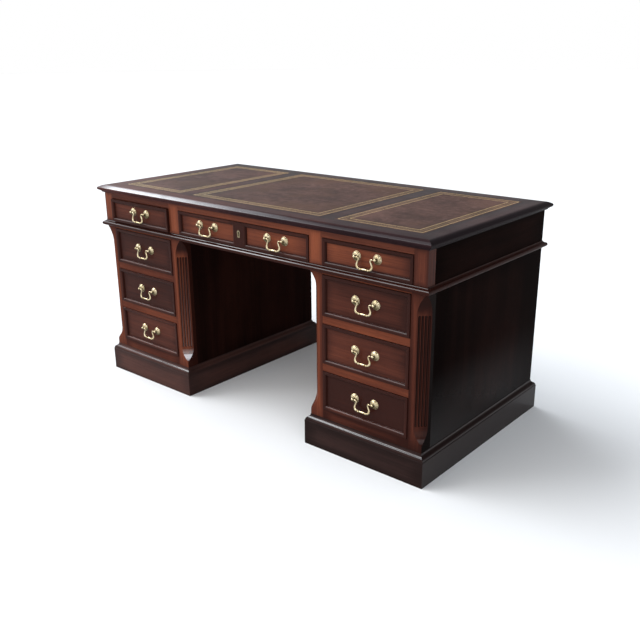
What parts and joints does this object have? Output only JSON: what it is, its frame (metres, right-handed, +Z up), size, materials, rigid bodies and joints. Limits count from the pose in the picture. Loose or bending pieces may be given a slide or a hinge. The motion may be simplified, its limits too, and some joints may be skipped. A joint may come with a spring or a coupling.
{
  "type": "pedestal desk",
  "caption": "Pedestal writing desk with a leather-inlaid moulded top, fluted chamfered corner posts, framed drawers and swinging brass swan-neck bails.",
  "frame": {"origin": "on the floor under the middle of the top", "axes": "+X to the right along the long side, +Y to the back (drawers face -Y), +Z up"},
  "size_m": [1.524, 0.756, 0.76],
  "materials": {
    "mahogany": "dark red-brown polish, semi-gloss",
    "lining_wood": "plain, unpolished",
    "tooled_leather": "brown hide with gold tooled border",
    "brass": "polished"
  },
  "bodies": {
    "carcass": {"top_frame": "mahogany", "top_panels": "lining_wood", "writing_leathers": "tooled_leather", "frieze_ends": "mahogany", "frieze_back": "mahogany", "frieze_front_frame": "mahogany", "frieze_runners": "lining_wood", "waist_moulding": "mahogany", "left_pedestal_sides": "mahogany", "left_pedestal_back": "mahogany", "left_pedestal_fluted_posts": "mahogany", "left_pedestal_rails": "mahogany", "left_pedestal_runners": "lining_wood", "left_pedestal_plinth": "mahogany", "right_pedestal_sides": "mahogany", "right_pedestal_back": "mahogany", "right_pedestal_fluted_posts": "mahogany", "right_pedestal_rails": "mahogany", "right_pedestal_runners": "lining_wood", "right_pedestal_plinth": "mahogany"},
    "frieze_left_drawer": {"frieze_left_drawer_front": "mahogany", "frieze_left_drawer_box": "lining_wood", "frieze_left_handle_posts": "brass"},
    "frieze_left_bail": {"frieze_left_bail": "brass"},
    "frieze_centre_drawer": {"frieze_centre_drawer_front": "mahogany", "frieze_centre_drawer_box": "lining_wood", "frieze_centre_handle_posts": "brass", "keyhole_escutcheon": "brass", "drawer_lock": "brass"},
    "frieze_centre_left_bail": {"frieze_centre_left_bail": "brass"},
    "frieze_centre_right_bail": {"frieze_centre_right_bail": "brass"},
    "frieze_right_drawer": {"frieze_right_drawer_front": "mahogany", "frieze_right_drawer_box": "lining_wood", "frieze_right_handle_posts": "brass"},
    "frieze_right_bail": {"frieze_right_bail": "brass"},
    "left_pedestal_lower_drawer": {"left_pedestal_lower_drawer_front": "mahogany", "left_pedestal_lower_drawer_box": "lining_wood", "left_pedestal_lower_handle_posts": "brass"},
    "left_pedestal_lower_bail": {"left_pedestal_lower_bail": "brass"},
    "left_pedestal_middle_drawer": {"left_pedestal_middle_drawer_front": "mahogany", "left_pedestal_middle_drawer_box": "lining_wood", "left_pedestal_middle_handle_posts": "brass"},
    "left_pedestal_middle_bail": {"left_pedestal_middle_bail": "brass"},
    "left_pedestal_upper_drawer": {"left_pedestal_upper_drawer_front": "mahogany", "left_pedestal_upper_drawer_box": "lining_wood", "left_pedestal_upper_handle_posts": "brass"},
    "left_pedestal_upper_bail": {"left_pedestal_upper_bail": "brass"},
    "right_pedestal_lower_drawer": {"right_pedestal_lower_drawer_front": "mahogany", "right_pedestal_lower_drawer_box": "lining_wood", "right_pedestal_lower_handle_posts": "brass"},
    "right_pedestal_lower_bail": {"right_pedestal_lower_bail": "brass"},
    "right_pedestal_middle_drawer": {"right_pedestal_middle_drawer_front": "mahogany", "right_pedestal_middle_drawer_box": "lining_wood", "right_pedestal_middle_handle_posts": "brass"},
    "right_pedestal_middle_bail": {"right_pedestal_middle_bail": "brass"},
    "right_pedestal_upper_drawer": {"right_pedestal_upper_drawer_front": "mahogany", "right_pedestal_upper_drawer_box": "lining_wood", "right_pedestal_upper_handle_posts": "brass"},
    "right_pedestal_upper_bail": {"right_pedestal_upper_bail": "brass"},
    "lock_bolt": {"lock_bolt": "brass"}
  },
  "joints": [
    {"name": "frieze_left_drawer_slide", "type": "slide", "parent": "carcass", "child": "frieze_left_drawer", "axis": [0, -1, 0], "range_m": [-0.006, 0.42]},
    {"name": "frieze_left_bail_swing", "type": "hinge", "parent": "frieze_left_drawer", "child": "frieze_left_bail", "pos_m": [-0.528, -0.372, 0.675], "axis": [-1, 0, 0], "range_deg": [-15, 165]},
    {"name": "frieze_centre_drawer_slide", "type": "slide", "parent": "carcass", "child": "frieze_centre_drawer", "axis": [0, -1, 0], "range_m": [0, 0.42]},
    {"name": "frieze_centre_left_bail_swing", "type": "hinge", "parent": "frieze_centre_drawer", "child": "frieze_centre_left_bail", "pos_m": [-0.1624, -0.366, 0.675], "axis": [-1, 0, 0], "range_deg": [-15, 165]},
    {"name": "frieze_centre_right_bail_swing", "type": "hinge", "parent": "frieze_centre_drawer", "child": "frieze_centre_right_bail", "pos_m": [0.1624, -0.366, 0.675], "axis": [-1, 0, 0], "range_deg": [-15, 165]},
    {"name": "frieze_right_drawer_slide", "type": "slide", "parent": "carcass", "child": "frieze_right_drawer", "axis": [0, -1, 0], "range_m": [0, 0.42]},
    {"name": "frieze_right_bail_swing", "type": "hinge", "parent": "frieze_right_drawer", "child": "frieze_right_bail", "pos_m": [0.528, -0.366, 0.675], "axis": [-1, 0, 0], "range_deg": [-15, 165]},
    {"name": "left_pedestal_lower_drawer_slide", "type": "slide", "parent": "carcass", "child": "left_pedestal_lower_drawer", "axis": [0, -1, 0], "range_m": [0, 0.42]},
    {"name": "left_pedestal_lower_bail_swing", "type": "hinge", "parent": "left_pedestal_lower_drawer", "child": "left_pedestal_lower_bail", "pos_m": [-0.525, -0.366, 0.214], "axis": [-1, 0, 0], "range_deg": [-15, 165]},
    {"name": "left_pedestal_middle_drawer_slide", "type": "slide", "parent": "carcass", "child": "left_pedestal_middle_drawer", "axis": [0, -1, 0], "range_m": [0, 0.42]},
    {"name": "left_pedestal_middle_bail_swing", "type": "hinge", "parent": "left_pedestal_middle_drawer", "child": "left_pedestal_middle_bail", "pos_m": [-0.525, -0.366, 0.375], "axis": [-1, 0, 0], "range_deg": [-15, 165]},
    {"name": "left_pedestal_upper_drawer_slide", "type": "slide", "parent": "carcass", "child": "left_pedestal_upper_drawer", "axis": [0, -1, 0], "range_m": [0, 0.42]},
    {"name": "left_pedestal_upper_bail_swing", "type": "hinge", "parent": "left_pedestal_upper_drawer", "child": "left_pedestal_upper_bail", "pos_m": [-0.525, -0.366, 0.536], "axis": [-1, 0, 0], "range_deg": [-15, 165]},
    {"name": "right_pedestal_lower_drawer_slide", "type": "slide", "parent": "carcass", "child": "right_pedestal_lower_drawer", "axis": [0, -1, 0], "range_m": [0, 0.42]},
    {"name": "right_pedestal_lower_bail_swing", "type": "hinge", "parent": "right_pedestal_lower_drawer", "child": "right_pedestal_lower_bail", "pos_m": [0.525, -0.366, 0.214], "axis": [-1, 0, 0], "range_deg": [-15, 165]},
    {"name": "right_pedestal_middle_drawer_slide", "type": "slide", "parent": "carcass", "child": "right_pedestal_middle_drawer", "axis": [0, -1, 0], "range_m": [0, 0.42]},
    {"name": "right_pedestal_middle_bail_swing", "type": "hinge", "parent": "right_pedestal_middle_drawer", "child": "right_pedestal_middle_bail", "pos_m": [0.525, -0.366, 0.375], "axis": [-1, 0, 0], "range_deg": [-15, 165]},
    {"name": "right_pedestal_upper_drawer_slide", "type": "slide", "parent": "carcass", "child": "right_pedestal_upper_drawer", "axis": [0, -1, 0], "range_m": [0, 0.42]},
    {"name": "right_pedestal_upper_bail_swing", "type": "hinge", "parent": "right_pedestal_upper_drawer", "child": "right_pedestal_upper_bail", "pos_m": [0.525, -0.366, 0.536], "axis": [-1, 0, 0], "range_deg": [-15, 165]},
    {"name": "lock_bolt_throw", "type": "slide", "parent": "frieze_centre_drawer", "child": "lock_bolt", "axis": [0, 0, 1], "range_m": [0, 0.007]}
  ]
}
